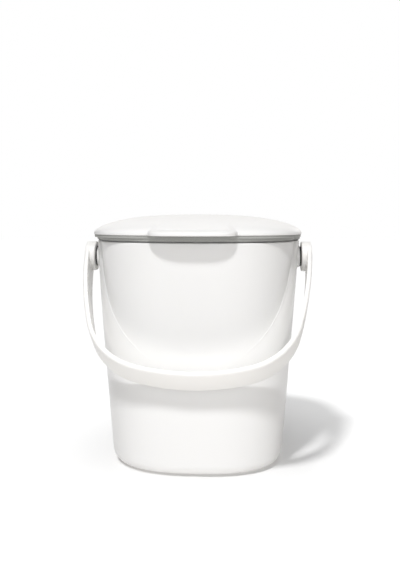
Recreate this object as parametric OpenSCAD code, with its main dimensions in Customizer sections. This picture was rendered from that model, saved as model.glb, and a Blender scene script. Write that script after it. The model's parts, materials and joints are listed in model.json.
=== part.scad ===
// Compost caddy: a tapered bucket with a hinged, gasketed lid and a swinging strap handle.
// Millimetres. Origin on the table under the middle of the caddy, Z up, the front faces -Y.

/* [Bucket] */
// Height of the rim above the table
rim_z = 215.6; // [200:0.2:230]
// Half width of the mouth, side to side
rim_half_w = 102.4; // [98:0.2:108]
// Half depth of the mouth, front to back
rim_half_d = 86; // [80:0.5:92]
// Draft of the side walls in degrees
side_draft = 4.9; // [3:0.1:6]
// Draft of the front and back panels in degrees
panel_draft = 4.2; // [3:0.1:5]
// Squareness of the body's outline, where 2 is an ellipse
squareness = 2.5; // [2.3:0.1:2.8]
// Share of the half width by which the front panel is narrower than the sides at the rim
panel_inset = 0.056; // [0.02:0.002:0.08]
// Share of the half depth by which the side surfaces are shallower than the panel at the rim
side_recess = 0.47; // [0.1:0.01:0.55]
// Height at which the crease between side and front panel has faded out
crease_end_z = 85; // [75:1:120]
// Wall thickness
wall = 2.8; // [2.4:0.1:3.4]
// Radius round the foot of the bucket
foot_r = 9; // [5:1:12]
// Thickness of the bucket's floor
floor_t = 3.6; // [3.2:0.2:5]

/* [Lid] */
// Height of the dome above its own edge
dome_h = 19.3; // [14:0.1:24]
// Overhang of the white edge past the rim
lid_overhang = 1.8; // [1:0.1:3]
// Thickness of the white shell
shell_t = 2.2; // [1.8:0.1:3]
// Depth of the plug that hangs into the mouth
plug_depth = 8; // [6:1:12]
// Width of the thumb tab
tab_w = 80.4; // [60:0.2:90]
// Reach of the thumb tab in front of the rim
tab_reach = 16.6; // [12:0.2:20]
// Thickness of the thumb tab
tab_t = 3.6; // [3:0.2:5]
// Angle that the lid opens to
lid_open_deg = 102; // [90:1:110]

/* [Handle] */
// Height of the handle's pivots
pivot_z = 199; // [195:1:202]
// Half width over the handle's outer faces at the pivots
handle_half_w = 114.4; // [113:0.2:118]
// Distance from the pivot line to the outside of the strap's middle
handle_reach = 141; // [138:0.5:146]
// Width of the strap
strap_w = 30; // [26:0.5:32]
// Thickness of the strap
strap_t = 4.6; // [3.6:0.2:5]
// Lean of the hanging handle, forward of straight down
lean_deg = 40.5; // [40.5:0.25:44]
// Radius of the long arc of each arm
arm_r = 330; // [300:10:400]
// Inward slope of each arm at its pivot in degrees
arm_slope = 1.7; // [0:0.1:4]
// Radius of the corner between arm and grip
corner_r = 68; // [50:2:80]
// Radius of the long arc of the grip
grip_r = 202; // [180:2:240]

/* [Small parts] */
// Radius of the pivot studs' shanks
stud_r = 4; // [3.5:0.5:4.5]
// Radius of the hinge pin
hinge_pin_r = 1.5; // [1.5:0.25:2]
// Radial clearance of every running fit
run_gap = 0.06; // [0.04:0.01:0.1]

/* [Hidden] */
$fn = 64;
around = 88;
body_white = [0.95, 0.95, 0.94];
handle_white = [0.95, 0.94, 0.92];
liner_grey = [0.55, 0.56, 0.55];
seal_grey = [0.28, 0.29, 0.29];
steel = [0.72, 0.73, 0.74];
nylon = [0.2, 0.2, 0.2];
eps = 0.01;

// Heights of the lid's layers
pad_proud = 1;
seal_gap = 0.3;
seal_z = rim_z + seal_gap;
seal_t = 1.1;
liner_z = seal_z + seal_t;
step_z = liner_z + 2.6;
shell_z = step_z + 2.7;
liner_t = 2;
plug_z = seal_z - plug_depth;
plug_inset = wall + 4.7;
upper_step_out = 1.5;
lower_step_out = 0.7;
step_overlap = 3;
web_root = 8;
seal_inset = 0.5;
lip_depth = 2.5;
lip_gap = 0.7;

// Hinge line behind the rim
hinge_y = rim_half_d + 9.4;
hinge_z = (liner_z + shell_z) / 2;
knuckle_r = 5;
liner_knuckle_r = 4.6;
liner_knuckle_half = 27;
lug_gap = 0.5;
lug_w = 10;
lug_x = liner_knuckle_half + lug_gap;
lug_root = 4;
lug_drop = 22;
lug_foot = 1.4;
web_back = 3.5;
web_front = 3.6;
pin_cap_r = 3.4;
pin_cap_t = 3;
pin_half = lug_x + lug_w + pin_cap_t - 0.8;

// The lid's rear edge lands on the lugs' stops just past its open angle
stop_r = 3;
stop_margin_deg = 5;
lid_back_y = lid_back(lug_x) + lid_overhang;
stop_tip = -(hinge_y - lid_back_y) / cos(45 + lid_open_deg + stop_margin_deg);

// Pivot stack, from the bucket's wall outwards
seat_r = 11;
seat_in = rim_half_w - 6.4;
seat_out = rim_half_w + 0.2;
washer_r = 10;
washer_t = 1.5;
washer_gap = 0.3;
boss_in = seat_out + washer_t + washer_gap;
boss_r = strap_w / 2;
boss_floor_t = 4;
ring_t = 1;
ring_gap = 0.3;
ring_x = boss_in + boss_floor_t + ring_gap;
ring_r = 6.4;
ring_slot_w = 4;
groove_depth = 0.8;
groove_slack = 0.05;
recess_r = 8;
cap_r = 10.5;
cap_t = 1.6;
flange_r = 7;
flange_t = 1.6;
stud_end_gap = 0.6;

// Outline helpers: a point of the plan is a distance from the middle at an angle
function superellipse(a, w, d, n) =
    pow(pow(abs(cos(a)) / w, n) + pow(abs(sin(a)) / d, n), -1 / n);
function soft_max(a, b, k) =
    let (h = max(k - abs(a - b), 0) / k) max(a, b) + h * h * k / 4;
function side_w(z) = rim_half_w - tan(side_draft) * (rim_z - z);
function panel_d(z) = rim_half_d - tan(panel_draft) * (rim_z - z);
function sweep(z) = max(0, (z - crease_end_z) / (rim_z - crease_end_z));
function lid_back(x) = rim_half_d * pow(1 - pow(x / rim_half_w, squareness), 1 / squareness);

// The panels stand out from the side surfaces in a hollow crease that fades out downwards
panel_power = 0.8;
side_power = 3.2;
crease_r = 1;
function panel_r(a, z) = superellipse(
    a, side_w(z) * (1 - panel_inset * pow(sweep(z), panel_power)), panel_d(z), squareness
);
function side_r(a, z) = superellipse(
    a, side_w(z), panel_d(z) * (1 - side_recess * pow(sweep(z), side_power)), squareness
);
function plan(z, grow) = [
    for (i = [0 : around - 1])
        let (a = 360 * i / around, r = soft_max(panel_r(a, z), side_r(a, z), crease_r) + grow)
            [r * cos(a), r * sin(a)]
];
function lid_plan(grow) = [
    for (i = [0 : around - 1])
        let (a = 360 * i / around, r = superellipse(a, rim_half_w, rim_half_d, squareness) + grow)
            [r * cos(a), r * sin(a)]
];
function lift(points, z) = [for (p = points) [p[0], p[1], z]];
function arc_drop(r, t) = r - sqrt(max(0, r * r - (r - t) * (r - t)));

// Skin over a stack of outlines, each with the same number of points
module loft(rings) {
    n = len(rings[0]);
    m = len(rings);
    sides = [
        for (j = [0 : m - 2])
            for (i = [0 : n - 1])
                let (a = j * n + i, b = j * n + (i + 1) % n)
                    for (f = [[a, a + n, b + n], [a, b + n, b]]) f
    ];
    polyhedron(
        points = [for (r = rings) for (p = r) p],
        faces = concat([[for (i = [0 : n - 1]) i]], sides, [[for (i = [n - 1 : -1 : 0]) (m - 1) * n + i]])
    );
}

// Ring between two outlines that share a centre
module plan_band(z, h, outer, inner) {
    translate([0, 0, z])
        linear_extrude(h)
            difference() {
                polygon(outer);
                polygon(plan(rim_z, inner));
            }
}

module mouth_band(z, h, outer, inner) {
    plan_band(z, h, plan(rim_z, outer), inner);
}

module along_x(x, r, h) {
    translate([x, 0, 0])
        rotate([0, 90, 0])
            cylinder(r = r, h = h);
}

module tube_x(x, r, bore, h) {
    difference() {
        along_x(x, r, h);
        along_x(x - 1, bore, h + 2);
    }
}

// One side of a pair that mirrors across the middle
module on_side(side) {
    mirror([side < 0 ? 1 : 0, 0, 0])
        children();
}

// Bucket
foot_z = pad_proud;
wall_steps = 13;
foot_steps = 5;
inner_foot_r = foot_r - 1;
inner_floor_z = foot_z + floor_t;
lip_r = 1;
pad_x = 52;
pad_y = 38;
pad_r = 9;
pad_sunk = 1.6;

function foot_rings() = [
    for (i = [0 : foot_steps])
        let (t = foot_r * (1 - cos(90 * i / foot_steps)))
            lift(plan(foot_z + t, -arc_drop(foot_r, t)), foot_z + t)
];
function wall_rings() = [
    for (i = [1 : wall_steps])
        let (z = foot_z + foot_r + (rim_z - lip_r - foot_z - foot_r) * i / wall_steps)
            lift(plan(z, 0), z)
];
function lip_rings() = [
    lift(plan(rim_z, -0.3 * lip_r), rim_z - 0.3 * lip_r),
    lift(plan(rim_z, -lip_r), rim_z),
    lift(plan(rim_z, lip_r - wall), rim_z),
    lift(plan(rim_z, 0.3 * lip_r - wall), rim_z - 0.3 * lip_r)
];
function inner_rings() = [
    for (i = [wall_steps : -1 : 0])
        let (
            low = inner_floor_z + inner_foot_r,
            z = low + (rim_z - lip_r - low) * i / wall_steps
        ) lift(plan(z, -wall), z)
];
function inner_foot_rings() = [
    for (i = [foot_steps - 1 : -1 : 0])
        let (t = inner_foot_r * (1 - cos(90 * i / foot_steps)), z = inner_floor_z + t)
            lift(plan(z, -wall - arc_drop(inner_foot_r, t)), z)
];

module foot_pad_places() {
    for (x = [-pad_x, pad_x], y = [-pad_y, pad_y])
        translate([x, y, 0])
            children();
}

module pivot_seat(side) {
    on_side(side)
        translate([0, 0, pivot_z])
            along_x(seat_in, seat_r, seat_out - seat_in);
}

module pivot_seat_bore(side) {
    on_side(side)
        translate([0, 0, pivot_z])
            along_x(seat_in - 1, stud_r, seat_out - seat_in + 2);
}

module hinge_lug(side) {
    on_side(side)
        translate([lug_x, 0, 0])
            rotate([90, 0, 90])
                linear_extrude(lug_w)
                    union() {
                        translate([hinge_y, hinge_z])
                            circle(r = knuckle_r);
                        translate([hinge_y, hinge_z])
                            rotate(45) {
                                translate([0, -stop_r])
                                    square([stop_tip - stop_r, 2 * stop_r]);
                                translate([stop_tip - stop_r, 0])
                                    circle(r = stop_r);
                            }
                        polygon([
                            [rim_half_d - lug_root, rim_z - lug_drop],
                            [rim_half_d - lug_foot, rim_z - lug_drop],
                            [hinge_y + web_back, rim_z - lip_r],
                            [hinge_y + knuckle_r - eps, hinge_z],
                            [hinge_y - knuckle_r + eps, hinge_z],
                            [rim_half_d + web_front, rim_z - lip_r],
                            [rim_half_d - lug_root, rim_z - 1.5 * lip_r]
                        ]);
                    }
}

module bucket() {
    color(body_white)
        difference() {
            union() {
                loft(concat(foot_rings(), wall_rings(), lip_rings(), inner_rings(), inner_foot_rings()));
                pivot_seat(-1);
                pivot_seat(1);
                hinge_lug(-1);
                hinge_lug(1);
            }
            pivot_seat_bore(-1);
            pivot_seat_bore(1);
            translate([0, hinge_y, hinge_z])
                along_x(-lug_x - lug_w - 1, hinge_pin_r, 2 * (lug_x + lug_w + 1));
            foot_pad_places()
                cylinder(r = pad_r, h = foot_z + pad_sunk);
        }
}

module foot_pads() {
    color(seal_grey)
        foot_pad_places()
            cylinder(r = pad_r, h = foot_z + pad_sunk);
}

// Lid
dome_steps = 9;
dome_last_deg = 84;
dome_power = 2.5;
dome_root = 0.55;
edge_band = 0.8;
tab_corner_r = 15;
tab_root = 22;
screw_x = 56;
screw_y = 40;
screw_r = 1.5;
screw_len = 12;
screw_hole_r = 1.8;
screw_head_r = 3.2;
screw_head_t = 1.8;
screw_boss_r = 4;
pilot_len = 16;
hex_r = 1.3;
hex_depth = 1.1;
boss_top_z = shell_z + 0.73 * dome_h;

function dome_rings(z, h, grow) = concat(
    [lift(lid_plan(grow), z), lift(lid_plan(grow), z + edge_band)],
    [
        for (i = [1 : dome_steps])
            let (
                k = cos(dome_last_deg * i / dome_steps),
                rise = (h - edge_band) * pow(1 - pow(k, dome_power), dome_root)
            ) lift([for (p = lid_plan(grow)) k * p], z + edge_band + rise)
    ]
);

module tab_outline() {
    front = -rim_half_d - tab_reach + tab_corner_r;
    hull() {
        for (x = [-1, 1])
            translate([x * (tab_w / 2 - tab_corner_r), front])
                circle(r = tab_corner_r);
        translate([-tab_w / 2, front])
            square([tab_w, tab_root]);
    }
}

module screw_places() {
    for (x = [-screw_x, screw_x], y = [-screw_y, screw_y])
        translate([x, y, 0])
            children();
}

module lid_shell() {
    color(body_white)
        difference() {
            union() {
                difference() {
                    loft(dome_rings(shell_z, dome_h, lid_overhang));
                    translate([0, 0, -eps])
                        loft(dome_rings(shell_z, dome_h - shell_t, lid_overhang - shell_t));
                }
                difference() {
                    translate([0, 0, shell_z])
                        linear_extrude(tab_t)
                            tab_outline();
                    translate([0, 0, shell_z - 1])
                        linear_extrude(tab_t + 2)
                            polygon(lid_plan(lid_overhang - 1));
                }
                screw_places()
                    translate([0, 0, plug_z + liner_t])
                        cylinder(r = screw_boss_r, h = boss_top_z - plug_z - liner_t);
            }
            screw_places()
                translate([0, 0, plug_z])
                    cylinder(r = screw_r, h = pilot_len);
        }
}

module lid_liner() {
    color(liner_grey)
        difference() {
            union() {
                plan_band(step_z, shell_z - step_z, lid_plan(upper_step_out), -plug_inset + step_overlap);
                mouth_band(liner_z, step_z - liner_z, lower_step_out, -plug_inset - liner_t);
                mouth_band(plug_z, liner_z - plug_z, -plug_inset, -plug_inset - liner_t);
                translate([0, 0, plug_z])
                    linear_extrude(liner_t)
                        polygon(plan(rim_z, -plug_inset));
                translate([0, hinge_y, hinge_z])
                    along_x(-liner_knuckle_half, liner_knuckle_r, 2 * liner_knuckle_half);
                translate([-liner_knuckle_half, rim_half_d - web_root, liner_z])
                    cube([2 * liner_knuckle_half, hinge_y - rim_half_d + web_root, shell_z - liner_z]);
            }
            translate([0, hinge_y, hinge_z])
                along_x(-liner_knuckle_half - 1, hinge_pin_r + run_gap, 2 * liner_knuckle_half + 2);
            screw_places()
                translate([0, 0, plug_z - 1])
                    cylinder(r = screw_hole_r, h = liner_t + 2);
        }
}

module lid_gasket() {
    color(seal_grey) {
        mouth_band(seal_z, seal_t, -seal_inset, -plug_inset + eps);
        mouth_band(seal_z - lip_depth, lip_depth, -wall - lip_gap, -plug_inset + eps);
    }
}

module liner_screws() {
    color(steel)
        screw_places()
            difference() {
                union() {
                    translate([0, 0, plug_z - screw_head_t])
                        cylinder(r = screw_head_r, h = screw_head_t);
                    translate([0, 0, plug_z - eps])
                        cylinder(r = screw_r, h = screw_len);
                }
                translate([0, 0, plug_z - screw_head_t - eps])
                    cylinder(r = hex_r, h = hex_depth, $fn = 6);
            }
}

module hinge_pin() {
    color(steel)
        translate([0, hinge_y, hinge_z])
            along_x(-pin_half, hinge_pin_r, 2 * pin_half);
}

module hinge_pin_caps() {
    color(steel)
        translate([0, hinge_y, hinge_z])
            for (side = [-1, 1])
                on_side(side)
                    difference() {
                        along_x(lug_x + lug_w, pin_cap_r, pin_cap_t);
                        along_x(lug_x + lug_w - 1, hinge_pin_r, pin_half - lug_x - lug_w + 1);
                    }
}

// Handle: the strap's outline is three tangent arcs on each side of the middle
function arc_points(c, r, from, to, steps) = [
    for (i = [0 : steps])
        let (a = from + (to - from) * i / steps) [c[0] + r * cos(a), c[1] + r * sin(a)]
];
arm_c = [handle_half_w - arm_r * cos(arm_slope), arm_r * sin(arm_slope)];
grip_c = [0, -(handle_reach - grip_r)];
function circles_meet(c0, r0, c1, r1) =
    let (
        d = norm(c1 - c0),
        u = (c1 - c0) / d,
        a = (r0 * r0 - r1 * r1 + d * d) / (2 * d),
        h = sqrt(r0 * r0 - a * a)
    ) c0 + a * u + h * [u[1], -u[0]];
corner_c = circles_meet(arm_c, arm_r - corner_r, grip_c, grip_r - corner_r);
arm_end = atan2(corner_c[1] - arm_c[1], corner_c[0] - arm_c[0]);
grip_end = atan2(corner_c[1] - grip_c[1], corner_c[0] - grip_c[0]);
function strap_side(inset) = concat(
    arc_points(arm_c, arm_r - inset, -arm_slope, arm_end, 14),
    arc_points(corner_c, corner_r - inset, arm_end, grip_end, 10),
    arc_points(grip_c, grip_r - inset, grip_end, -90, 12)
);
function backwards(points) = [for (i = [len(points) - 1 : -1 : 0]) points[i]];
function flipped(points) = [for (p = points) [-p[0], p[1]]];

module handle_pose() {
    translate([0, 0, pivot_z])
        rotate([90 - lean_deg, 0, 0])
            children();
}

module strap() {
    translate([0, 0, -strap_w / 2])
        linear_extrude(strap_w)
            polygon(concat(
                strap_side(0), backwards(flipped(strap_side(0))),
                flipped(strap_side(strap_t)), backwards(strap_side(strap_t))
            ));
}

module handle() {
    color(handle_white)
        handle_pose()
            difference() {
                union() {
                    strap();
                    for (side = [-1, 1])
                        on_side(side)
                            along_x(boss_in, boss_r, handle_half_w - boss_in);
                }
                for (side = [-1, 1])
                    on_side(side) {
                        along_x(boss_in - 1, stud_r + run_gap, boss_r);
                        along_x(boss_in + boss_floor_t, recess_r, boss_r);
                        along_x(handle_half_w - cap_t, cap_r, boss_r);
                    }
            }
}

module pivot_stud(side) {
    end = handle_half_w - cap_t - stud_end_gap;
    color(steel)
        on_side(side)
            translate([0, 0, pivot_z])
                difference() {
                    union() {
                        along_x(seat_in - flange_t, flange_r, flange_t);
                        along_x(seat_in - eps, stud_r, end - seat_in);
                    }
                    tube_x(ring_x - groove_slack, stud_r + 1, stud_r - groove_depth, ring_t + 2 * groove_slack);
                }
}

module thrust_washer(side) {
    color(nylon)
        on_side(side)
            translate([0, 0, pivot_z])
                tube_x(seat_out, washer_r, stud_r, washer_t);
}

module retaining_ring(side) {
    color(steel)
        on_side(side)
            translate([0, 0, pivot_z])
                difference() {
                    tube_x(ring_x, ring_r, stud_r - groove_depth, ring_t);
                    translate([ring_x - 1, -ring_slot_w / 2, -ring_r - 1])
                        cube([ring_t + 2, ring_slot_w, ring_r + 1]);
                }
}

module pivot_cap(side) {
    color(handle_white)
        on_side(side)
            translate([0, 0, pivot_z])
                along_x(handle_half_w - cap_t, cap_r, cap_t);
}

bucket();
foot_pads();
lid_shell();
lid_liner();
lid_gasket();
liner_screws();
hinge_pin();
hinge_pin_caps();
handle();
pivot_stud(-1);  // left_pivot_stud
pivot_stud(1);  // right_pivot_stud
thrust_washer(-1);  // left_thrust_washer
thrust_washer(1);  // right_thrust_washer
retaining_ring(-1);  // left_retaining_ring
retaining_ring(1);  // right_retaining_ring
pivot_cap(-1);  // left_pivot_cap
pivot_cap(1);  // right_pivot_cap
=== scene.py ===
"""Countertop compost caddy: finished surfaces, table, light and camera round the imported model."""

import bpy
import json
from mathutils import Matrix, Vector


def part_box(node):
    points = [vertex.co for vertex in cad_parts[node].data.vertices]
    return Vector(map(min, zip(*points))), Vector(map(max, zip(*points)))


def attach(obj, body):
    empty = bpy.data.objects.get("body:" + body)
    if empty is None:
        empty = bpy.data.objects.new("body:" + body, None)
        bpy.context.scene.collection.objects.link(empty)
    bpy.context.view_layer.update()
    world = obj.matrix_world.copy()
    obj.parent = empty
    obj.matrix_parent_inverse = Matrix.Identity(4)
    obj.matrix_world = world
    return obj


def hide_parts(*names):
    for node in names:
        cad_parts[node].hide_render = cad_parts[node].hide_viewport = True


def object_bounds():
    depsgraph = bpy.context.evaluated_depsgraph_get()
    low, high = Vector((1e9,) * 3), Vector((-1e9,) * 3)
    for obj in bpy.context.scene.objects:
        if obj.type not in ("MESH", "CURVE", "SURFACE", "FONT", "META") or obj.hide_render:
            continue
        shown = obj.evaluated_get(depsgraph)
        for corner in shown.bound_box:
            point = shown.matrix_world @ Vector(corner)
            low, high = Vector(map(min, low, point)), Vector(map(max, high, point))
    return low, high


bl_info = {
    "name": "Compost Caddy",
    "version": (1, 0, 0),
    "blender": (4, 5, 0),
    "location": "View3D > Sidebar > Caddy",
    "description": "Builds a white compost caddy with its hinged lid and strap handle",
    "category": "Object",
}

import json
import math

import bmesh
import bpy
from bpy.props import FloatProperty, FloatVectorProperty, PointerProperty
from mathutils import Matrix, Vector

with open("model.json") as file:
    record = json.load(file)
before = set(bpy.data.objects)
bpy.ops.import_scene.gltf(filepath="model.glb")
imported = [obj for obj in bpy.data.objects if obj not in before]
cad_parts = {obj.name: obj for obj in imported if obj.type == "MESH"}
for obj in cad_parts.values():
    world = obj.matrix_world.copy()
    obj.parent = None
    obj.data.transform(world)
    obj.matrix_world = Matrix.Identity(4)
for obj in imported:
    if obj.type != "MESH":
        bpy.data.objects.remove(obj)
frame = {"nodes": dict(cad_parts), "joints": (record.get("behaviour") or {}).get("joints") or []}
cad_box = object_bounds()

MM = 0.001
JOINTS = {joint["name"]: joint for joint in frame["joints"]}
HINGE = Vector(JOINTS["lid_hinge"]["pos_m"])
PIVOT = Vector(JOINTS["handle_swing"]["pos_m"])
LINER_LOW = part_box("lid_liner")[0]
GASKET_LOW, GASKET_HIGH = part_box("lid_gasket")
HANDLE_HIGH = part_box("handle")[1]
CAP_LOW, CAP_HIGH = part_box("right_pivot_cap")
SEAL_GAP = 0.3 * MM
SEAL_T = 1.1 * MM
STEP_RISE = 2.6 * MM
SHELL_RISE = 5.3 * MM
RIM_Z = GASKET_HIGH.z - SEAL_T - SEAL_GAP
LAYER_Z = {
    "seal": RIM_Z + SEAL_GAP,
    "liner": GASKET_HIGH.z,
    "step": GASKET_HIGH.z + STEP_RISE,
    "shell": GASKET_HIGH.z + SHELL_RISE,
    "plug": LINER_LOW.z,
}
WALL = 2.8 * MM
PLUG_INSET = WALL + 4.7 * MM
PIN_R = 1.5 * MM
PIN_PLAY = 0.06 * MM


# Sizes, colours and stage values that a user would change


def length_field(name, millimetres, description):
    return FloatProperty(
        name=name, description=description, default=millimetres * MM, unit="LENGTH")


def angle_field(name, degrees, description):
    return FloatProperty(
        name=name, description=description, default=math.radians(degrees), subtype="ANGLE")


def colour_field(name, shade, description):
    return FloatVectorProperty(
        name=name, description=description, default=shade, subtype="COLOR", min=0, max=1)


class CaddySizes(bpy.types.PropertyGroup):
    """Driving sizes of the caddy's visible surfaces."""

    rim_half_w: length_field("Rim half width", 102.4, "Half width of the mouth, side to side")
    rim_half_d: length_field("Rim half depth", 86, "Half depth of the mouth, front to back")
    side_draft: angle_field("Side draft", 4.9, "Draft of the side walls")
    panel_draft: angle_field("Panel draft", 4.2, "Draft of the front and back panels")
    squareness: FloatProperty(
        name="Squareness", description="Exponent of the body's outline, where 2 is an ellipse",
        default=2.5)
    panel_inset: FloatProperty(
        name="Panel inset", description="How much narrower panels are than sides at the rim",
        default=0.056, subtype="FACTOR", min=0, max=0.2)
    side_recess: FloatProperty(
        name="Side recess", description="How much shallower sides are than panels at the rim",
        default=0.47, subtype="FACTOR", min=0, max=0.6)
    crease_end_z: length_field("Crease end", 85, "Height where the shoulder crease has faded out")
    foot_r: length_field("Foot radius", 9, "Radius round the foot of the bucket")
    dome_h: length_field("Dome height", 19.3, "Height of the lid's dome above its edge")
    lid_overhang: length_field("Lid overhang", 1.8, "Overhang of the white edge past the rim")
    tab_w: length_field("Tab width", 80.4, "Width of the thumb tab")
    tab_reach: length_field("Tab reach", 16.6, "Reach of the thumb tab in front of the rim")
    tab_t: length_field("Tab thickness", 3.6, "Thickness of the thumb tab")
    strap_w: length_field("Strap width", 30, "Width of the handle's strap")
    strap_t: length_field("Strap thickness", 4.6, "Thickness of the handle's strap")
    handle_reach: length_field("Handle reach", 141, "Pivots to the outside of the strap's middle")
    lean: angle_field("Lean", 40.5, "Lean of the hanging handle, forward of straight down")


class CaddyFinish(bpy.types.PropertyGroup):
    """Colours of the mouldings."""

    body: colour_field("Bucket and lid", (0.86, 0.86, 0.856), "White of bucket and lid shell")
    handle: colour_field("Handle", (0.9, 0.895, 0.88), "Off-white of the handle and its caps")
    liner: colour_field("Liner", (0.38, 0.385, 0.37), "Grey of the inner lid")
    seal: colour_field("Seal", (0.19, 0.192, 0.19), "Dark grey of the gasket and the foot pads")


class CaddyStage(bpy.types.PropertyGroup):
    """Camera, lights and table."""

    camera_turn: angle_field("Camera turn", 3.5, "How far the camera is round to the right")
    camera_distance: length_field("Camera distance", 653, "From the lens to the caddy's middle")
    camera_height: length_field("Camera height", 240, "Height of the lens above the table")
    brightness: FloatProperty(
        name="Brightness", description="Strength of all the lamps", default=1.0, min=0)
    room: FloatProperty(
        name="Backdrop", description="Brightness of the white backdrop", default=1.0, min=0)


# Shader maths

# The Mix node has sockets of the same name for each kind of data, so its colours go by number
MIX_FIRST = 6
MIX_SECOND = 7
MIX_COLOUR = 2


class Value:
    """One shader socket that takes part in Python sums."""

    def __init__(self, graph, socket):
        self.graph = graph
        self.socket = socket

    def _sum(self, operation, a, b):
        return self.graph.node("ShaderNodeMath", {"operation": operation}, [a, b])

    def __add__(self, other):
        return self._sum("ADD", self, other)

    __radd__ = __add__

    def __mul__(self, other):
        return self._sum("MULTIPLY", self, other)

    __rmul__ = __mul__


class Graph:
    """A new material with a Principled surface, and the nodes that feed it."""

    def __init__(self, name):
        self.material = bpy.data.materials.new(name)
        self.material.use_nodes = True
        self.tree = self.material.node_tree
        self.surface = self.tree.nodes["Principled BSDF"]

    def node(self, kind, settings=None, inputs=(), output=0):
        """Adds a node from its attributes and its inputs, and gives one output."""
        made = self.tree.nodes.new(kind)
        for key, setting in (settings or {}).items():
            setattr(made, key, setting)
        pairs = inputs.items() if isinstance(inputs, dict) else enumerate(inputs)
        for key, given in pairs:
            self._feed(made.inputs[key], given)
        return Value(self, made.outputs[output])

    def _feed(self, socket, given):
        if isinstance(given, Value):
            self.tree.links.new(given.socket, socket)
        else:
            socket.default_value = given

    def set(self, **given):
        """Feeds the surface's inputs, named with underscores for spaces."""
        for key, value in given.items():
            self._feed(self.surface.inputs[key.replace("_", " ")], value)

    def place(self):
        """Object coordinates, in metres."""
        return self.node("ShaderNodeTexCoord", output="Object")

    def noise(self, scale, detail=2.0, roughness=0.5, place=None):
        inputs = {
            "Vector": place or self.place(),
            "Scale": scale, "Detail": detail, "Roughness": roughness,
        }
        return self.node("ShaderNodeTexNoise", {"noise_dimensions": "3D"}, inputs)

    def stretch(self, scale):
        """Object coordinates stretched along the axes."""
        return self.node("ShaderNodeMapping", {}, {"Vector": self.place(), "Scale": scale})

    def ramp(self, value, low, high):
        """A smooth step from 0 at low to 1 at high."""
        return self.node(
            "ShaderNodeMapRange", {"interpolation_type": "SMOOTHSTEP"},
            {"Value": value, "From Min": low, "From Max": high})

    def shade(self, factor, first, second):
        """A colour between two, by a factor."""
        return self.node(
            "ShaderNodeMix", {"data_type": "RGBA"},
            {"Factor": factor, MIX_FIRST: (*first, 1), MIX_SECOND: (*second, 1)}, MIX_COLOUR)

    def bump(self, height, distance, strength, under=None):
        """A normal from a height, on top of another normal if one is given."""
        inputs = {"Height": height, "Distance": distance, "Strength": strength}
        if under is not None:
            inputs["Normal"] = under
        return self.node("ShaderNodeBump", {}, inputs)


def tinted(colour, factor):
    return tuple(channel * factor for channel in colour)


def white_moulding(name, colour, base_roughness, grain):
    """Satin polypropylene: faint flow mottling, a fine moulded grain and uneven gloss."""
    graph = Graph(name)
    flow = graph.noise(9, detail=3, roughness=0.6, place=graph.stretch((1, 1, 0.35)))
    cloud = graph.noise(38, detail=2)
    fine = graph.noise(grain, detail=2, roughness=0.6)
    waves = graph.noise(24, detail=1)
    graph.set(
        Base_Color=graph.shade(graph.ramp(flow, 0.3, 0.7), tinted(colour, 0.985), colour),
        Roughness=base_roughness + 0.06 * cloud + 0.05 * fine,
        Normal=graph.bump(fine, 0.00004, 0.35, under=graph.bump(waves, 0.0006, 0.05)),
    )
    surface = graph.surface.inputs
    surface["IOR"].default_value = 1.49
    surface["Subsurface Weight"].default_value = 0.08
    surface["Subsurface Radius"].default_value = (0.004, 0.004, 0.0035)
    surface["Subsurface Scale"].default_value = 1.0
    return graph.material


def body_white(finish):
    return white_moulding("body_white", tuple(finish.body), 0.24, 1900)


def handle_white(finish):
    return white_moulding("handle_white", tuple(finish.handle), 0.36, 1500)


def liner_grey(finish):
    """Matte grey polypropylene with a spark-eroded grain."""
    colour = tuple(finish.liner)
    graph = Graph("liner_grey")
    grain = graph.noise(1300, detail=3, roughness=0.7)
    cloud = graph.noise(45, detail=2)
    graph.set(
        Base_Color=graph.shade(
            graph.ramp(grain, 0.35, 0.7), tinted(colour, 0.9), tinted(colour, 1.06)),
        Roughness=0.46 + 0.1 * cloud,
        Normal=graph.bump(grain, 0.00007, 0.5),
    )
    graph.surface.inputs["IOR"].default_value = 1.49
    return graph.material


def soft_rubber(name, colour, grain):
    """Dark elastomer with a dusty bloom."""
    graph = Graph(name)
    bloom = graph.noise(70, detail=4, roughness=0.65)
    fine = graph.noise(grain, detail=2)
    graph.set(
        Base_Color=graph.shade(graph.ramp(bloom, 0.35, 0.75), colour, tinted(colour, 1.5)),
        Roughness=0.62 + 0.16 * bloom,
        Normal=graph.bump(fine, 0.00006, 0.5),
    )
    return graph.material


def turned_steel(name, axis):
    """Stainless steel with fine turning lines round an axis."""
    graph = Graph(name)
    across = [60, 60, 60]
    across["xyz".index(axis)] = 5200
    lines = graph.noise(1, detail=2, roughness=0.7, place=graph.stretch(tuple(across)))
    stain = graph.noise(120, detail=2)
    graph.set(
        Base_Color=graph.shade(graph.ramp(lines, 0.3, 0.7), (0.52, 0.52, 0.53), (0.66, 0.66, 0.67)),
        Roughness=0.24 + 0.12 * stain + 0.08 * lines,
        Normal=graph.bump(lines, 0.00003, 0.4),
    )
    graph.surface.inputs["Metallic"].default_value = 1.0
    return graph.material


def dark_nylon():
    """Graphite-filled washer plastic."""
    graph = Graph("dark_nylon")
    cloud = graph.noise(160, detail=2)
    graph.set(
        Base_Color=graph.shade(cloud, (0.022, 0.022, 0.023), (0.035, 0.035, 0.036)),
        Roughness=0.4 + 0.12 * cloud,
        Normal=graph.bump(cloud, 0.00004, 0.4),
    )
    return graph.material


def pale_table():
    """Plain pale sweep under and behind the caddy."""
    graph = Graph("pale_table")
    cloud = graph.noise(2.5, detail=2)
    graph.set(
        Base_Color=graph.shade(cloud, (0.9, 0.9, 0.9), (0.915, 0.915, 0.915)),
        Roughness=0.55 + 0.05 * cloud,
    )
    graph.surface.inputs["Specular IOR Level"].default_value = 0.25
    return graph.material


# Outline of the body, shared by bucket, lid, liner and gasket


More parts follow.
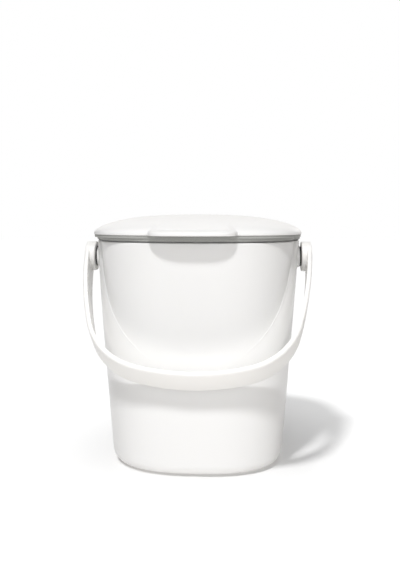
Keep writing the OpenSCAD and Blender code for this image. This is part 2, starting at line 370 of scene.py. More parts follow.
def superellipse(angle, half_w, half_d, n):
    """Distance from the middle to a superellipse, along an angle."""
    across = abs(math.cos(angle)) / half_w
    along = abs(math.sin(angle)) / half_d
    return (across ** n + along ** n) ** (-1 / n)


def soft_max(a, b, k):
    """The larger of two values, with a rounded change from one to the other over k."""
    h = max(k - abs(a - b), 0) / k
    return max(a, b) + h * h * k / 4


PANEL_POWER = 0.8
SIDE_POWER = 3.2
CREASE_R = 0.35 * MM
CREASE_START = 0.12
BEAD_R = 0.7 * MM
BEAD_H = 0.3 * MM
BEAD_START = 0.15
BEAD_FADE_IN = 20 * MM
BEAD_FADE_OUT = 3 * MM


def body_form(sizes, z):
    """Half width, half depth, and the shares of them left to panel and side, at a height."""
    half_w = sizes.rim_half_w - math.tan(sizes.side_draft) * (RIM_Z - z)
    half_d = sizes.rim_half_d - math.tan(sizes.panel_draft) * (RIM_Z - z)
    sweep = max(0, (z - sizes.crease_end_z) / (RIM_Z - sizes.crease_end_z))
    panel = 1 - sizes.panel_inset * sweep ** PANEL_POWER
    side = 1 - sizes.side_recess * sweep ** SIDE_POWER
    return half_w, half_d, panel, side


def above_crease_end(sizes, share):
    """Height at a share of the way from the crease's end up to the rim."""
    return sizes.crease_end_z + share * (RIM_Z - sizes.crease_end_z)


def crease_angle(sizes, z):
    """Angle from the X axis at which the panel leaves the side surface."""
    n = sizes.squareness
    lowest = above_crease_end(sizes, CREASE_START)
    half_w, half_d, panel, side = body_form(sizes, max(z, lowest))
    across = ((1 - side ** n) / (panel ** -n - side ** n)) ** (1 / n)
    along = (1 - (across / panel) ** n) ** (1 / n)
    return math.atan2(along * half_d, across * half_w)


# Points of a quarter of the outline: before and behind the crease, and mm off it on both sides
SIDE_POINTS = 26
PANEL_POINTS = 40
CREASE_POINTS = (-2.6, -1.7, -1.1, -0.7, -0.4, -0.18, 0.0, 0.18, 0.4, 0.7, 1.1, 1.7, 2.6)
CREASE_ROOM = 3.2 * MM


def quarter_angles(sizes, z):
    """Angles of a quarter's points, in rows that follow the crease."""
    middle = crease_angle(sizes, z)
    reach = body_radius(sizes, middle, z)
    room = CREASE_ROOM / reach
    low, high = middle - room, middle + room
    before = [low * (k / SIDE_POINTS) for k in range(SIDE_POINTS)]
    near = [middle + off * MM / reach for off in CREASE_POINTS]
    behind = [high + (math.pi / 2 - high) * (k / PANEL_POINTS) for k in range(1, PANEL_POINTS)]
    return before + near + behind


def body_radius(sizes, angle, z):
    """Distance from the middle to the wall: the panels stand out from the side surfaces."""
    half_w, half_d, panel, side = body_form(sizes, z)
    n = sizes.squareness
    front = superellipse(angle, half_w * panel, half_d, n)
    beside = superellipse(angle, half_w, half_d * side, n)
    return soft_max(front, beside, CREASE_R)


def lid_radius(sizes, angle, z=RIM_Z):
    """Distance from the middle to the lid's outline, which bridges the creases."""
    return superellipse(angle, sizes.rim_half_w, sizes.rim_half_d, sizes.squareness)


def outline(sizes, z, grow, bead=0.0, shape=body_radius):
    """One closed ring of points of a plan, grown or shrunk by a distance."""
    first = quarter_angles(sizes, z)
    middle = crease_angle(sizes, z)
    quarter = []
    for angle in first + [math.pi / 2]:
        reach = shape(sizes, angle, z)
        off = abs(angle - middle) * reach / BEAD_R
        rise = bead * (1 - off * off) ** 2 if off < 1 else 0
        quarter.append((angle, reach + grow + rise))
    half = quarter[:-1] + [(math.pi - a, r) for a, r in quarter[:0:-1]]
    whole = half + [(a + math.pi, r) for a, r in half]
    return [Vector((r * math.cos(a), r * math.sin(a), 0)) for a, r in whole]


def at_height(ring, z):
    """A ring of points moved to a height."""
    return [Vector((p.x, p.y, z)) for p in ring]


def quarter_drop(radius, t):
    """How far a quarter round has drawn in at a distance t from its end."""
    return radius - math.sqrt(max(0, radius * radius - (radius - t) ** 2))


# Mesh making

DISC_EDGE_STEPS = 4


def skin_rings(mesh, rings, closed):
    """Adds a skin of quads over rings of equal length to a bmesh, closed as a loop or by caps."""
    rows = [[mesh.verts.new(p) for p in ring] for ring in rings]
    count = len(rows[0])
    pairs = list(zip(rows, rows[1:]))
    if closed:
        pairs.append((rows[-1], rows[0]))
    for low, high in pairs:
        for i in range(count):
            j = (i + 1) % count
            mesh.faces.new((low[i], low[j], high[j], high[i]))
    if not closed:
        mesh.faces.new(rows[0][::-1])
        mesh.faces.new(rows[-1])


def new_piece(name, mesh):
    """Turns a bmesh into an object in the scene."""
    bmesh.ops.recalc_face_normals(mesh, faces=mesh.faces)
    data = bpy.data.meshes.new(name)
    mesh.to_mesh(data)
    mesh.free()
    piece = bpy.data.objects.new(name, data)
    bpy.context.scene.collection.objects.link(piece)
    return piece


def ring_piece(name, rings, closed=False):
    """A piece with a skin over rings of points."""
    mesh = bmesh.new()
    skin_rings(mesh, rings, closed)
    return new_piece(name, mesh)


def turned(name, profile, matrix, count=96):
    """A piece turned round Z from (radius, height) pairs, put in place by a matrix."""
    turns = [2 * math.pi * i / count for i in range(count)]
    rings = [
        [Vector((radius * math.cos(turn), radius * math.sin(turn), height)) for turn in turns]
        for radius, height in profile
    ]
    piece = ring_piece(name, rings)
    piece.data.transform(matrix)
    if matrix.determinant() < 0:
        piece.data.flip_normals()
    return piece


def quarter_turn(steps):
    """Angles of a quarter turn, both ends among them."""
    return [math.pi / 2 * step / steps for step in range(steps + 1)]


def rounded_disc(radius, low, high, edge):
    """Profile of a disc with both edges rounded."""
    turns = quarter_turn(DISC_EDGE_STEPS)
    middle = radius - edge
    lower = [(middle + edge * math.sin(t), low + edge - edge * math.cos(t)) for t in turns]
    upper = [(middle + edge * math.cos(t), high - edge + edge * math.sin(t)) for t in turns]
    return lower + upper


def prism(name, points, low, high, matrix, edge):
    """An extruded outline with eased edges."""
    mesh = bmesh.new()
    base = [mesh.verts.new((x, y, low)) for x, y in points]
    face = mesh.faces.new(base)
    lifted = bmesh.ops.extrude_face_region(mesh, geom=[face])["geom"]
    moved = [v for v in lifted if isinstance(v, bmesh.types.BMVert)]
    bmesh.ops.translate(mesh, verts=moved, vec=(0, 0, high - low))
    piece = new_piece(name, mesh)
    piece.data.transform(matrix)
    bevel = piece.modifiers.new("eased", "BEVEL")
    bevel.width = edge
    bevel.segments = 3
    bevel.limit_method = "ANGLE"
    bevel.angle_limit = math.radians(50)
    bevel.harden_normals = False
    apply_modifiers(piece)
    return piece


def apply_modifiers(piece):
    """Bakes a piece's modifiers into its mesh."""
    graph = bpy.context.evaluated_depsgraph_get()
    data = bpy.data.meshes.new_from_object(piece.evaluated_get(graph))
    old = piece.data
    piece.modifiers.clear()
    piece.data = data
    bpy.data.meshes.remove(old)


def combine(piece, tools, operation):
    """Joins tools to a piece or cuts them out of it, and removes them."""
    for tool in tools:
        cut = piece.modifiers.new("cut", "BOOLEAN")
        cut.operation = operation
        cut.solver = "EXACT"
        cut.object = tool
        apply_modifiers(piece)
        data = tool.data
        bpy.data.objects.remove(tool)
        bpy.data.meshes.remove(data)


def finish_piece(piece, body, node, material, crease_deg=35):
    """Smooths a piece, gives it its finish and lets it ride in place of its node."""
    data = piece.data
    data.polygons.foreach_set("use_smooth", [True] * len(data.polygons))
    data.set_sharp_from_angle(angle=math.radians(crease_deg))
    data.materials.clear()
    data.materials.append(material)
    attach(piece, body)
    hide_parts(node)


def give_finish(node, material):
    """Gives a kept node its finish."""
    data = frame["nodes"][node].data
    data.materials.clear()
    data.materials.append(material)


ALONG_X = Matrix.Rotation(math.pi / 2, 4, "Y")
FLIP_X = Matrix.Diagonal((-1, 1, 1, 1))


def side_matrix(side):
    """Puts a piece turned along X at a pivot, mirrored for the left side."""
    place = Matrix.Translation(PIVOT) @ ALONG_X
    return FLIP_X @ place if side < 0 else place


# Bucket

LIP_R = 1 * MM
FLOOR_T = 3.6 * MM
FOOT_STEPS = 8
WALL_STEPS = 110
LIP_STEPS = 4
INNER_STEPS = 36
SEAT_R = 11 * MM
SEAT_DEPTH = 6.4 * MM
SEAT_RISE = 0.2 * MM
STUD_R = 4 * MM
PAD_R = 9 * MM
PAD_STAND = 1 * MM
LUG_LOW = 27.5 * MM
LUG_W = 10 * MM
LUG_R = 5 * MM
LUG_ROOT = 22 * MM
STOP_R = 3 * MM
STOP_REACH = 7 * MM


def bead_height(sizes, z):
    """The crease's fine bead fades in above the crease's end and out at the rim."""
    risen = min(max((z - above_crease_end(sizes, BEAD_START)) / BEAD_FADE_IN, 0), 1)
    return BEAD_H * risen * min((RIM_Z - z) / BEAD_FADE_OUT, 1)


def bucket_rings(sizes):
    """Rings from the outside of the foot up over the lip and down to the floor inside."""
    foot_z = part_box("foot_pads")[0].z + PAD_STAND
    rings = []

    def add(z, grow, plan_z, bead=0.0):
        rings.append(at_height(outline(sizes, plan_z, grow, bead), z))

    for turn in quarter_turn(FOOT_STEPS):
        t = sizes.foot_r * (1 - math.cos(turn))
        add(foot_z + t, -quarter_drop(sizes.foot_r, t), foot_z + t)
    low = foot_z + sizes.foot_r
    high = RIM_Z - LIP_R
    for step in range(1, WALL_STEPS + 1):
        z = low + (high - low) * step / WALL_STEPS
        add(z, 0, z, bead_height(sizes, z))
    for turn in quarter_turn(LIP_STEPS)[1:]:
        add(high + LIP_R * math.sin(turn), -LIP_R * (1 - math.cos(turn)), RIM_Z)
    for turn in quarter_turn(LIP_STEPS)[::-1]:
        add(high + LIP_R * math.sin(turn), -WALL + LIP_R * (1 - math.cos(turn)), RIM_Z)
    inner_foot = sizes.foot_r - 1 * MM
    floor = foot_z + FLOOR_T
    for step in range(INNER_STEPS - 1, -1, -1):
        z = floor + inner_foot + (high - floor - inner_foot) * step / INNER_STEPS
        add(z, -WALL, z)
    for turn in quarter_turn(FOOT_STEPS)[-2::-1]:
        t = inner_foot * (1 - math.cos(turn))
        add(floor + t, -WALL - quarter_drop(inner_foot, t), floor + t)
    return rings


def arc_points(centre, radius, turns):
    """Points on an arc, at angles in degrees."""
    turns = [math.radians(turn) for turn in turns]
    return [centre + radius * Vector((math.cos(turn), math.sin(turn))) for turn in turns]


def lug_outline(sizes):
    """Side view of a hinge lug, in Y and Z: wall root, web, knuckle and stop."""
    wall = sizes.rim_half_d
    axis = Vector((HINGE.y, HINGE.z))
    tip = axis + STOP_REACH * Vector((math.cos(math.pi / 4), math.sin(math.pi / 4)))
    root = [(wall - 4 * MM, RIM_Z - LUG_ROOT), (wall - 1.4 * MM, RIM_Z - LUG_ROOT)]
    web = [(HINGE.y + 3.5 * MM, RIM_Z - 1 * MM)]
    under_stop = arc_points(axis, LUG_R, range(-20, 16, 7))
    stop = arc_points(tip, STOP_R, range(-45, 136, 15))
    knuckle = arc_points(axis, LUG_R, range(78, 196, 9))
    top = [(wall + 3.6 * MM, RIM_Z - 1 * MM), (wall - 4 * MM, RIM_Z - 1.5 * MM)]
    return root + web + under_stop + stop + knuckle + top


YZ_TO_WORLD = Matrix(((0, 0, 1, 0), (1, 0, 0, 0), (0, 1, 0, 0), (0, 0, 0, 1)))


def hinge_bore(radius, half):
    """A cutter along the hinge's axis."""
    place = Matrix.Translation(HINGE) @ ALONG_X
    return turned("bore", [(radius, -half), (radius, half)], place, count=48)


class CADDY_OT_bucket(bpy.types.Operator):
    """Build the bucket with its pivot seats and hinge lugs"""

    bl_idname = "caddy.bucket"
    bl_label = "Bucket"

    def execute(self, context):
        sizes = context.scene.caddy_sizes
        piece = ring_piece("bucket_moulding", bucket_rings(sizes))
        seat_low = sizes.rim_half_w - SEAT_DEPTH
        seat_high = sizes.rim_half_w + SEAT_RISE
        seat = rounded_disc(SEAT_R, seat_low, seat_high, 0.4 * MM)
        joined = [turned("seat", seat, side_matrix(side)) for side in (-1, 1)]
        for side in (-1, 1):
            spans = sorted((side * LUG_LOW, side * (LUG_LOW + LUG_W)))
            joined.append(prism("lug", lug_outline(sizes), *spans, YZ_TO_WORLD, 0.7 * MM))
        combine(piece, joined, "UNION")
        bore = [(STUD_R, seat_low - MM), (STUD_R, seat_high + MM)]
        cuts = [turned("bore", bore, side_matrix(side)) for side in (-1, 1)]
        cuts.append(hinge_bore(PIN_R, LUG_LOW + LUG_W + 4.5 * MM))
        pads_low, pads_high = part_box("foot_pads")
        recess = [(PAD_R, -MM), (PAD_R, pads_high.z)]
        for x in (pads_low.x + PAD_R, pads_high.x - PAD_R):
            for y in (pads_low.y + PAD_R, pads_high.y - PAD_R):
                cuts.append(turned("recess", recess, Matrix.Translation((x, y, 0))))
        combine(piece, cuts, "DIFFERENCE")
        material = body_white(context.scene.caddy_finish)
        finish_piece(piece, "bucket_body", "bucket", material)
        return {"FINISHED"}


# Lid

SHELL_T = 2.2 * MM
KNUCKLE_HALF = 27 * MM
KNUCKLE_R = 4.6 * MM
EDGE_BAND = 0.8 * MM
DOME_POWER = 2.5
DOME_ROOT = 0.55
TAB_POWER = 3.0
TAB_EDGE_R = 2.2 * MM
TAB_SLOPE = 0.05
TAB_BLEND = 9 * MM
TAB_BLEND_START = 8 * MM
TAB_JOIN_R = 3 * MM
TAB_BACK_Y = -50 * MM
TAB_SIDE_DEG = (14, 30)
LID_TURN_DEG = 1.0
FINE_TURN_DEG = 0.25
LID_STEPS = 90
LID_SPACING = 1.7
UNDERSIDE_PARTS = (0.06, 0.2, 0.4, 0.6, 0.78, 0.9, 0.97, 1.0)


def tab_shape(sizes, x, y):
    """Distance inside the thumb tab's outline, an arch on the rim's line; negative outside."""
    half = sizes.tab_w / 2
    n = sizes.squareness
    rim = sizes.rim_half_d * (1 - min(abs(x) / sizes.rim_half_w, 1) ** n) ** (1 / n)
    across = abs(x) / half
    along = max(0, -y - rim) / sizes.tab_reach
    size = (across ** TAB_POWER + along ** TAB_POWER) ** (1 / TAB_POWER)
    if size < 0.05:
        return half
    steep_x = (across / size) ** (TAB_POWER - 1) / half
    steep_y = (along / size) ** (TAB_POWER - 1) / sizes.tab_reach
    return (1 - size) / math.hypot(steep_x, steep_y)


def tab_radius(sizes, angle):
    """Distance from the middle to the tab's outline along an angle, found by halving."""
    c, s = math.cos(angle), math.sin(angle)
    faces_front = s <= -0.5
    if not faces_front:
        return 0
    low, high = 40 * MM, 120 * MM
    for _ in range(24):
        middle = (low + high) / 2
        if tab_shape(sizes, middle * c, middle * s) > 0:
            low = middle
        else:
            high = middle
    return low


def lid_angles():
    """Angles round the lid, close together where the tab's sides leave the edge."""
    angles = []
    degrees = -90.0
    while degrees < 270 - 1e-6:
        angles.append(math.radians(degrees))
        off_front = abs((degrees + 270) % 360 - 180)
        fine = TAB_SIDE_DEG[0] <= off_front < TAB_SIDE_DEG[1]
        degrees += FINE_TURN_DEG if fine else LID_TURN_DEG
    return angles


def dome_rise(height, part):
    """Height of the dome above its edge band, at a part of the way out to the edge."""
    return (height - EDGE_BAND) * (1 - min(part, 1) ** DOME_POWER) ** DOME_ROOT


def lid_top(sizes, x, y, edge):
    """Height of the lid's upper surface: the dome, blended into the thumb tab."""
    dome = LAYER_Z["shell"] + EDGE_BAND + dome_rise(sizes.dome_h, math.hypot(x, y) / edge)
    inside = tab_shape(sizes, x, y)
    if y > TAB_BACK_Y or inside <= 0:
        return min(dome, cad_box[1].z)
    drop = quarter_drop(TAB_EDGE_R, min(inside, TAB_EDGE_R))
    slope = TAB_SLOPE * (y + sizes.rim_half_d + sizes.tab_reach)
    tab = LAYER_Z["shell"] + sizes.tab_t - drop + slope
    if inside <= 0.1 * MM:
        return max(dome, tab)
    return soft_max(dome, tab, TAB_BLEND * min(inside / TAB_BLEND_START, 1))


def lid_rings(sizes):
    """Rings from under the dome's middle out over its edge and back to the middle on top."""
    turns = [(a, math.cos(a), math.sin(a)) for a in lid_angles()]
    edges = [lid_radius(sizes, a) + sizes.lid_overhang for a, _, _ in turns]
    outer = [soft_max(e, tab_radius(sizes, a), TAB_JOIN_R) for (a, _, _), e in zip(turns, edges)]
    low = LAYER_Z["shell"]
    rings = []
    for part in UNDERSIDE_PARTS:
        z = low + dome_rise(sizes.dome_h - SHELL_T, part)
        reaches = [part * (e - SHELL_T) for e in edges]
        rings.append([Vector((r * c, r * s, z)) for (_, c, s), r in zip(turns, reaches)])
    for inset, rise in ((0.4 * MM, 0), (0.1 * MM, 0.12 * MM), (0, 0.4 * MM)):
        reaches = [r - inset for r in outer]
        rings.append([Vector((r * c, r * s, low + rise)) for (_, c, s), r in zip(turns, reaches)])
    for step in range(LID_STEPS, 0, -1):
        part = 1 - (1 - step / LID_STEPS) ** LID_SPACING
        ring = []
        for (_, c, s), edge, reach in zip(turns, edges, outer):
            x, y = part * reach * c, part * reach * s
            ring.append(Vector((x, y, lid_top(sizes, x, y, edge))))
        rings.append(ring)
    return rings


class CADDY_OT_lid_shell(bpy.types.Operator):
    """Build the white dome with its thumb tab"""

    bl_idname = "caddy.lid_shell"
    bl_label = "Lid shell"

    def execute(self, context):
        sizes = context.scene.caddy_sizes
        piece = ring_piece("lid_dome", lid_rings(sizes))
        material = body_white(context.scene.caddy_finish)
        finish_piece(piece, "lid", "lid_shell", material, crease_deg=50)
        return {"FINISHED"}


class CADDY_OT_lid_liner(bpy.types.Operator):
    """Build the grey inner lid with its stepped edge, plug and hinge knuckle"""

    bl_idname = "caddy.lid_liner"
    bl_label = "Lid liner"

    def profile(self):
        """(growth of an outline, height, outline) from the plug's underside round to its floor."""
        plug, liner, step, shell = (LAYER_Z[k] for k in ("plug", "liner", "step", "shell"))
        skirt = -PLUG_INSET
        below = [
            (skirt - 14 * MM, plug + 0.6 * MM), (skirt - 12 * MM, plug), (skirt - 1.5 * MM, plug),
            (skirt - 0.45 * MM, plug + 0.45 * MM), (skirt, plug + 1.5 * MM),
            (skirt, liner - 0.3 * MM), (skirt + 0.1 * MM, liner), (0.2 * MM, liner),
            (0.55 * MM, liner + 0.1 * MM), (0.7 * MM, liner + 0.4 * MM), (0.7 * MM, step),
        ]
        band = [
            (0.8 * MM, step), (0.95 * MM, step + 0.1 * MM), (1.0 * MM, step + 0.4 * MM),
            (1.0 * MM, shell - 0.4 * MM), (0.9 * MM, shell - 0.1 * MM), (0.7 * MM, shell),
        ]
        inside = [
            (skirt + 3 * MM, shell), (skirt - 2 * MM, shell - 1.4 * MM),
            (skirt - 2 * MM, plug + 2 * MM),
        ]
        shapes = ((below, body_radius), (band, lid_radius), (inside, body_radius))
        return [(grow, z, shape) for pairs, shape in shapes for grow, z in pairs]

    def execute(self, context):
        sizes = context.scene.caddy_sizes
        rings = [
            at_height(outline(sizes, RIM_Z, grow, shape=shape), z)
            for grow, z, shape in self.profile()
        ]
        piece = ring_piece("lid_inner", rings)
        disc = rounded_disc(KNUCKLE_R, -KNUCKLE_HALF, KNUCKLE_HALF, 0.5 * MM)
        knuckle = turned("knuckle", disc, Matrix.Translation(HINGE) @ ALONG_X, count=64)
        root = sizes.rim_half_d - 8 * MM
        low, high = LAYER_Z["liner"] + 0.2 * MM, LAYER_Z["shell"] - 0.2 * MM
        arm = [(root, low), (HINGE.y, low), (HINGE.y, high), (root, high)]
        web = prism("web", arm, -KNUCKLE_HALF, KNUCKLE_HALF, YZ_TO_WORLD, 0.3 * MM)
        combine(piece, [web, knuckle], "UNION")
        combine(piece, [hinge_bore(PIN_R + PIN_PLAY, KNUCKLE_HALF + MM)], "DIFFERENCE")
        material = liner_grey(context.scene.caddy_finish)
        finish_piece(piece, "lid", "lid_liner", material)
        return {"FINISHED"}


class CADDY_OT_gasket(bpy.types.Operator):
    """Build the dark seal between rim and liner"""

    bl_idname = "caddy.gasket"
    bl_label = "Gasket"

    def execute(self, context):
        sizes = context.scene.caddy_sizes
        seal, liner = LAYER_Z["seal"], LAYER_Z["liner"]
        skirt = -PLUG_INSET + 0.05 * MM
        lip = -WALL - 0.7 * MM
        low = GASKET_LOW.z
        profile = [
            (skirt, liner), (-0.9 * MM, liner), (-0.6 * MM, liner - 0.2 * MM),
            (-0.5 * MM, liner - 0.6 * MM), (-0.6 * MM, seal + 0.2 * MM), (-0.9 * MM, seal),
            (lip, seal), (lip, low + 1.2 * MM), (lip - 0.5 * MM, low + 0.3 * MM),
            (lip - 1.4 * MM, low), (skirt, low),
        ]
        rings = [at_height(outline(sizes, RIM_Z, grow), z) for grow, z in profile]
        piece = ring_piece("mouth_seal", rings, closed=True)
        material = soft_rubber("seal_rubber", tuple(context.scene.caddy_finish.seal), 1500)
        finish_piece(piece, "lid", "lid_gasket", material)
        return {"FINISHED"}


# Handle

ARM_R = 330 * MM
CORNER_R = 68 * MM
GRIP_R = 202 * MM
ARM_SLOPE = math.radians(1.7)
ARM_STEPS = 26
CORNER_STEPS = 26
GRIP_STEPS = 30
OUTER_EDGE = 2.4 * MM
INNER_EDGE = 0.9 * MM
BOSS_GAP = 2 * MM
BOSS_EDGE = 1.1 * MM
BOSS_FLOOR = 4 * MM
RING_SPACE_R = 8 * MM
CAP_R = 10.4 * MM
CAP_SEAT_R = 10.65 * MM
CAP_SEAT_DEPTH = 1.6 * MM


def arc(centre, radius, start, end, steps):
    """(outward normal, centre, radius) at even steps along an arc."""
    points = []
    for step in range(steps + 1):
        a = start + (end - start) * step / steps
        points.append((Vector((math.cos(a), math.sin(a))), centre, radius))
    return points


def strap_path(sizes):
    """Points along the right half of the strap's outer face: arm, corner and half the grip."""
    arm_x = HANDLE_HIGH.x - ARM_R * math.cos(ARM_SLOPE)
    arm_c = Vector((arm_x, ARM_R * math.sin(ARM_SLOPE)))
    grip_c = Vector((0, GRIP_R - sizes.handle_reach))
    span = grip_c - arm_c
    gap = span.length
    arm_span, grip_span = ARM_R - CORNER_R, GRIP_R - CORNER_R
    along = (arm_span * arm_span - grip_span * grip_span + gap * gap) / (2 * gap)
    off = math.sqrt(arm_span * arm_span - along * along)
    unit = span / gap
    corner_c = arm_c + along * unit + off * Vector((unit.y, -unit.x))
    arm_end = math.atan2(corner_c.y - arm_c.y, corner_c.x - arm_c.x)
    grip_end = math.atan2(corner_c.y - grip_c.y, corner_c.x - grip_c.x)
    return (
        arc(arm_c, ARM_R, -ARM_SLOPE, arm_end, ARM_STEPS)
        + arc(corner_c, CORNER_R, arm_end, grip_end, CORNER_STEPS)[1:]
        + arc(grip_c, GRIP_R, grip_end, -math.pi / 2, GRIP_STEPS)[1:]
    )


def strap_section(sizes):
    """(depth from the outer face, place across the strap) round its rounded section."""
    half, depth = sizes.strap_w / 2, sizes.strap_t
    points = []
    corners = (
        (OUTER_EDGE, half - OUTER_EDGE, 180, OUTER_EDGE),
        (depth - INNER_EDGE, half - INNER_EDGE, 90, INNER_EDGE),
        (depth - INNER_EDGE, -half + INNER_EDGE, 0, INNER_EDGE),
        (OUTER_EDGE, -half + OUTER_EDGE, 270, OUTER_EDGE),
    )
    for centre_d, centre_w, start, edge in corners:
        for step in range(6):
            a = math.radians(start - 18 * step)
            points.append((centre_d + edge * math.cos(a), centre_w + edge * math.sin(a)))
    return points


class CADDY_OT_handle(bpy.types.Operator):
    """Build the strap handle with its bosses"""

    bl_idname = "caddy.handle"
    bl_label = "Handle"

    def execute(self, context):
        sizes = context.scene.caddy_sizes
        path = strap_path(sizes)
        whole = [(1, *point) for point in path] + [(-1, *point) for point in path[-2::-1]]
        section = strap_section(sizes)
        rings = []
        for side, normal, centre, radius in whole:
            faces = [(centre + normal * (radius - depth), across) for depth, across in section]
            rings.append([Vector((side * p.x, p.y, across)) for p, across in faces])
        piece = ring_piece("strap_handle", rings)
        lean = Matrix.Rotation(math.pi / 2 - sizes.lean, 4, "X")
        piece.data.transform(Matrix.Translation(PIVOT) @ lean)
        boss_low = sizes.rim_half_w + BOSS_GAP
        outer = HANDLE_HIGH.x
        boss = rounded_disc(sizes.strap_w / 2, boss_low, outer, BOSS_EDGE)
        bosses = [turned("boss", boss, side_matrix(side)) for side in (-1, 1)]
        combine(piece, bosses, "UNION")
        bore_r = STUD_R + PIN_PLAY
        floor, seat = boss_low + BOSS_FLOOR, outer - CAP_SEAT_DEPTH
        stepped = [
            (bore_r, boss_low - MM), (bore_r, floor), (RING_SPACE_R, floor),
            (RING_SPACE_R, seat), (CAP_SEAT_R, seat), (CAP_SEAT_R, outer + MM),
        ]
        cuts = [turned("seat", stepped, side_matrix(side)) for side in (-1, 1)]
        combine(piece, cuts, "DIFFERENCE")
        material = handle_white(context.scene.caddy_finish)
        finish_piece(piece, "handle", "handle", material)
        return {"FINISHED"}


class CADDY_OT_pivot_caps(bpy.types.Operator):
    """Build the caps that close the handle's bosses"""

    bl_idname = "caddy.pivot_caps"
    bl_label = "Pivot caps"

    def execute(self, context):
        material = handle_white(context.scene.caddy_finish)
        crown = rounded_disc(CAP_R, CAP_LOW.x, CAP_HIGH.x - 0.15 * MM, 0.45 * MM)
        crown += [(7 * MM, CAP_HIGH.x - 0.04 * MM), (3 * MM, CAP_HIGH.x)]
        for side, name in ((-1, "left"), (1, "right")):
            cap = turned(f"{name}_boss_cap", crown, side_matrix(side))
            finish_piece(cap, "handle", f"{name}_pivot_cap", material)
        return {"FINISHED"}


class CADDY_OT_hardware(bpy.types.Operator):
    """Give the studs, pins, screws, washers and pads their finishes"""

    bl_idname = "caddy.hardware"
    bl_label = "Hardware"

    def execute(self, context):
        steel_x = turned_steel("turned_steel_x", "x")
        steel_z = turned_steel("turned_steel_z", "z")
        nylon = dark_nylon()
        for node in ("hinge_pin", "hinge_pin_caps"):
            give_finish(node, steel_x)
        for side in ("left", "right"):
            give_finish(f"{side}_pivot_stud", steel_x)
            give_finish(f"{side}_retaining_ring", steel_x)
            give_finish(f"{side}_thrust_washer", nylon)
        give_finish("liner_screws", steel_z)
        colour = tinted(tuple(context.scene.caddy_finish.seal), 1.6)
        give_finish("foot_pads", soft_rubber("pad_rubber", colour, 1100))
        return {"FINISHED"}


# Stage

SENSOR_W = 36
PICTURE_H = 570
FOCAL_PX = 637
SHIFT_PX = (1.9, -69)
TABLE_HALF = 6.0
WHITE = (1, 1, 1)
WARM = (1, 0.978, 0.955)
AMBER = (1, 0.955, 0.91)
# Name, degrees round to the right of the front, degrees up, softness in degrees, power, colour,
# and whether it lights only the table or everything but the table
LAMPS = (
    ("key", -6, 54.5, 6, 2.0, WHITE, "EXCLUDE"),
    ("front_left", -30, 14, 60, 0.88, WHITE, "EXCLUDE"),
    ("front_right", 34, 14, 60, 1.12, WARM, "EXCLUDE"),
    ("left_fill", -60, 15, 50, 0.22, WARM, "EXCLUDE"),
    ("right_fill", 45, 38, 60, 0.22, WARM, "EXCLUDE"),
    ("low_fill", 0, -80, 60, 1.85, WARM, "EXCLUDE"),
    ("low_left", -90, -40, 50, 0.4, AMBER, "EXCLUDE"),
    ("low_right", 90, -40, 50, 0.3, AMBER, "EXCLUDE"),
    ("left_wrap", -110, 40, 50, 0.2, WARM, "EXCLUDE"),
    ("right_wrap", 145, 10, 40, 0.2, WARM, "EXCLUDE"),
    ("top_fill", 0, 75, 60, 0.12, WHITE, "EXCLUDE"),
    ("back_fill", 180, 20, 60, 0.82, WARM, "EXCLUDE"),
    ("table_key", -26, 58, 7, 1.9, WHITE, "INCLUDE"),
    ("table_top", 0, 88, 60, 2.4, WHITE, "INCLUDE"),
)


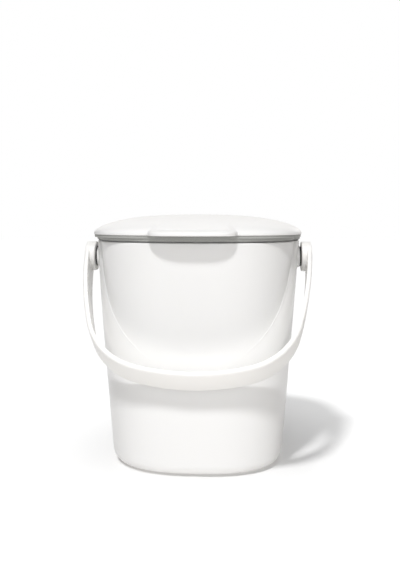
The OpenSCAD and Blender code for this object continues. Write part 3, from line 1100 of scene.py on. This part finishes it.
class CADDY_OT_stage(bpy.types.Operator):
    """Set the table, the lights and the camera"""

    bl_idname = "caddy.stage"
    bl_label = "Stage"

    def table(self):
        """A pale floor that throws no light back on the caddy."""
        mesh = bmesh.new()
        signs = ((-1, -1), (1, -1), (1, 1), (-1, 1))
        mesh.faces.new([mesh.verts.new((x * TABLE_HALF, y * TABLE_HALF, 0)) for x, y in signs])
        table = new_piece("table", mesh)
        table.data.materials.append(pale_table())
        table.visible_diffuse = False
        table.visible_shadow = False
        return table

    def lamps(self, stage, table):
        """Soft lamps all round the caddy; the table's own lamps give it its shadow."""
        for name, turn, rise, softness, power, colour, receiver in LAMPS:
            lamp = bpy.data.lights.new(name, "SUN")
            lamp.energy = power * stage.brightness
            lamp.angle = math.radians(softness)
            lamp.color = colour
            light = bpy.data.objects.new(name, lamp)
            turn, rise = math.radians(turn), math.radians(rise)
            flat = math.cos(rise)
            towards = Vector((math.sin(turn) * flat, -math.cos(turn) * flat, math.sin(rise)))
            light.rotation_mode = "QUATERNION"
            light.rotation_quaternion = towards.to_track_quat("Z", "Y")
            bpy.context.scene.collection.objects.link(light)
            group = bpy.data.collections.new(f"{name}_lights")
            group.objects.link(table)
            group.collection_objects[0].light_linking.link_state = receiver
            light.light_linking.receiver_collection = group

    def room(self, stage):
        """A white backdrop that only the camera sees."""
        world = bpy.data.worlds.new("white_room")
        bpy.context.scene.world = world
        world.use_nodes = True
        background = world.node_tree.nodes["Background"]
        background.inputs["Color"].default_value = (1, 1, 1, 1)
        background.inputs["Strength"].default_value = stage.room
        world.cycles_visibility.diffuse = False
        world.cycles_visibility.glossy = False

    def camera(self, stage):
        """A level camera, turned to the caddy's middle and shifted to frame it."""
        data = bpy.data.cameras.new("camera")
        data.sensor_width = SENSOR_W
        data.lens = SENSOR_W * FOCAL_PX / PICTURE_H
        data.shift_x, data.shift_y = (shift / PICTURE_H for shift in SHIFT_PX)
        data.clip_end = 30
        camera = bpy.data.objects.new("camera", data)
        camera.location = (
            stage.camera_distance * math.sin(stage.camera_turn),
            -stage.camera_distance * math.cos(stage.camera_turn),
            stage.camera_height,
        )
        camera.rotation_euler = (math.pi / 2, 0, stage.camera_turn)
        bpy.context.scene.collection.objects.link(camera)
        bpy.context.scene.camera = camera

    def execute(self, context):
        stage = context.scene.caddy_stage
        self.lamps(stage, self.table())
        self.room(stage)
        self.camera(stage)
        context.scene.view_settings.view_transform = "Standard"
        context.scene.view_settings.look = "None"
        return {"FINISHED"}


class CADDY_PT_panel(bpy.types.Panel):
    """Sidebar list of the caddy's pieces"""

    bl_idname = "CADDY_PT_panel"
    bl_label = "Compost Caddy"
    bl_space_type = "VIEW_3D"
    bl_region_type = "UI"
    bl_category = "Caddy"

    def draw(self, context):
        column = self.layout.column(align=True)
        for operator in OPERATORS:
            column.operator(operator.bl_idname)
        for name in GROUPS:
            group = getattr(context.scene, name)
            for key in group.__annotations__:
                self.layout.prop(group, key)


OPERATORS = (
    CADDY_OT_stage, CADDY_OT_bucket, CADDY_OT_lid_shell, CADDY_OT_lid_liner, CADDY_OT_gasket,
    CADDY_OT_handle, CADDY_OT_pivot_caps, CADDY_OT_hardware,
)
GROUPS = {"caddy_sizes": CaddySizes, "caddy_finish": CaddyFinish, "caddy_stage": CaddyStage}


def register():
    for name, group in GROUPS.items():
        bpy.utils.register_class(group)
        setattr(bpy.types.Scene, name, PointerProperty(type=group))
    for operator in OPERATORS:
        bpy.utils.register_class(operator)
    bpy.utils.register_class(CADDY_PT_panel)


def unregister():
    bpy.utils.unregister_class(CADDY_PT_panel)
    for operator in reversed(OPERATORS):
        bpy.utils.unregister_class(operator)
    for name, group in GROUPS.items():
        delattr(bpy.types.Scene, name)
        bpy.utils.unregister_class(group)


def main():
    register()
    bpy.ops.caddy.stage()
    bpy.ops.caddy.bucket()
    bpy.ops.caddy.lid_shell()
    bpy.ops.caddy.lid_liner()
    bpy.ops.caddy.gasket()
    bpy.ops.caddy.handle()
    bpy.ops.caddy.pivot_caps()
    bpy.ops.caddy.hardware()


if __name__ == "__main__":
    main()
